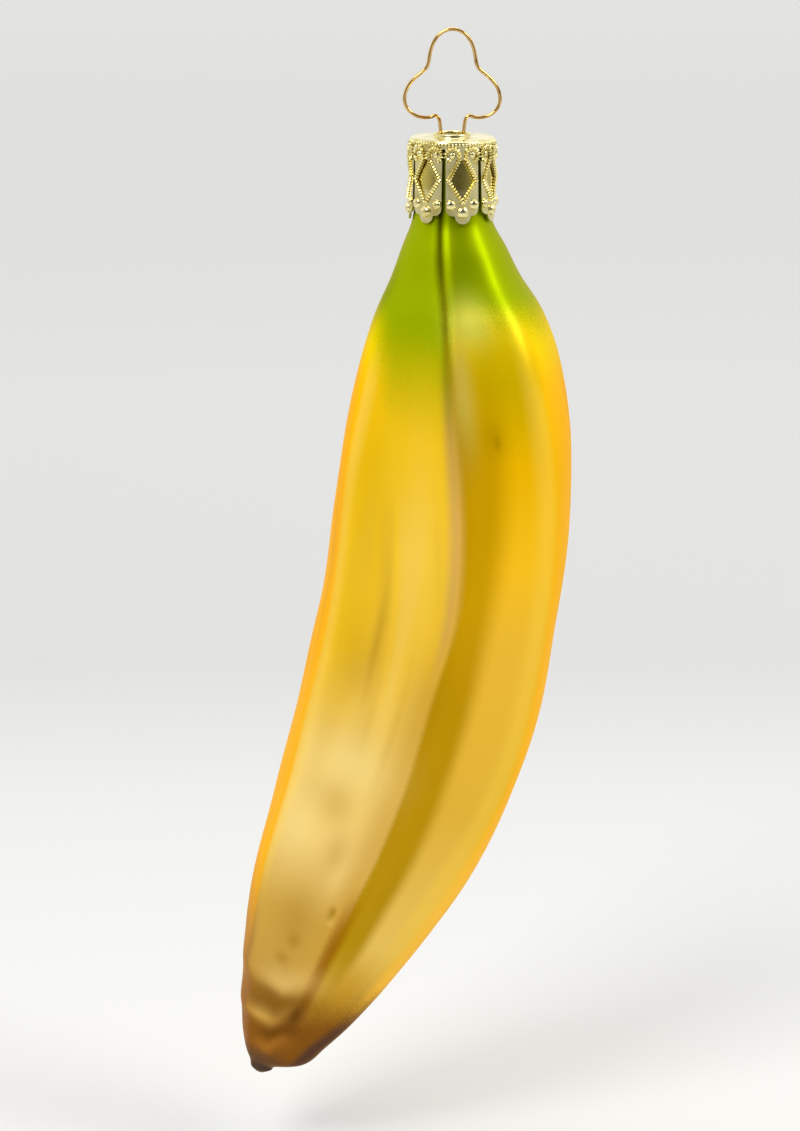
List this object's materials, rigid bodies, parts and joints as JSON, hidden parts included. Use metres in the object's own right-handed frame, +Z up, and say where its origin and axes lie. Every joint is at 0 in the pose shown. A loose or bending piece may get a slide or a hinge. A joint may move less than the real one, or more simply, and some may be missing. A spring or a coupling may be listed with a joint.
{
  "type": "glass banana ornament",
  "caption": "Hanging blown-glass ornament shaped like a banana, hollow, with a stamped metal cap over its neck and a sprung wire loop to hang it by.",
  "frame": {"origin": "the point inside the top of the wire loop that a hook bears on", "axes": "+Z up along the hanging line, the front of the banana towards -Y, and the tip bent towards -X"},
  "size_m": [0.0499, 0.032, 0.1603],
  "materials": {
    "satin_glass": "satin lacquer airbrushed green, yellow, orange and brown over silvered glass",
    "pale_gold": "stamped and polished pale gold",
    "gold_wire": "bright drawn wire"
  },
  "bodies": {
    "root": {"glass_banana": "satin_glass", "stamped_cap": "pale_gold", "wire_hanger": "gold_wire"}
  },
  "joints": []
}
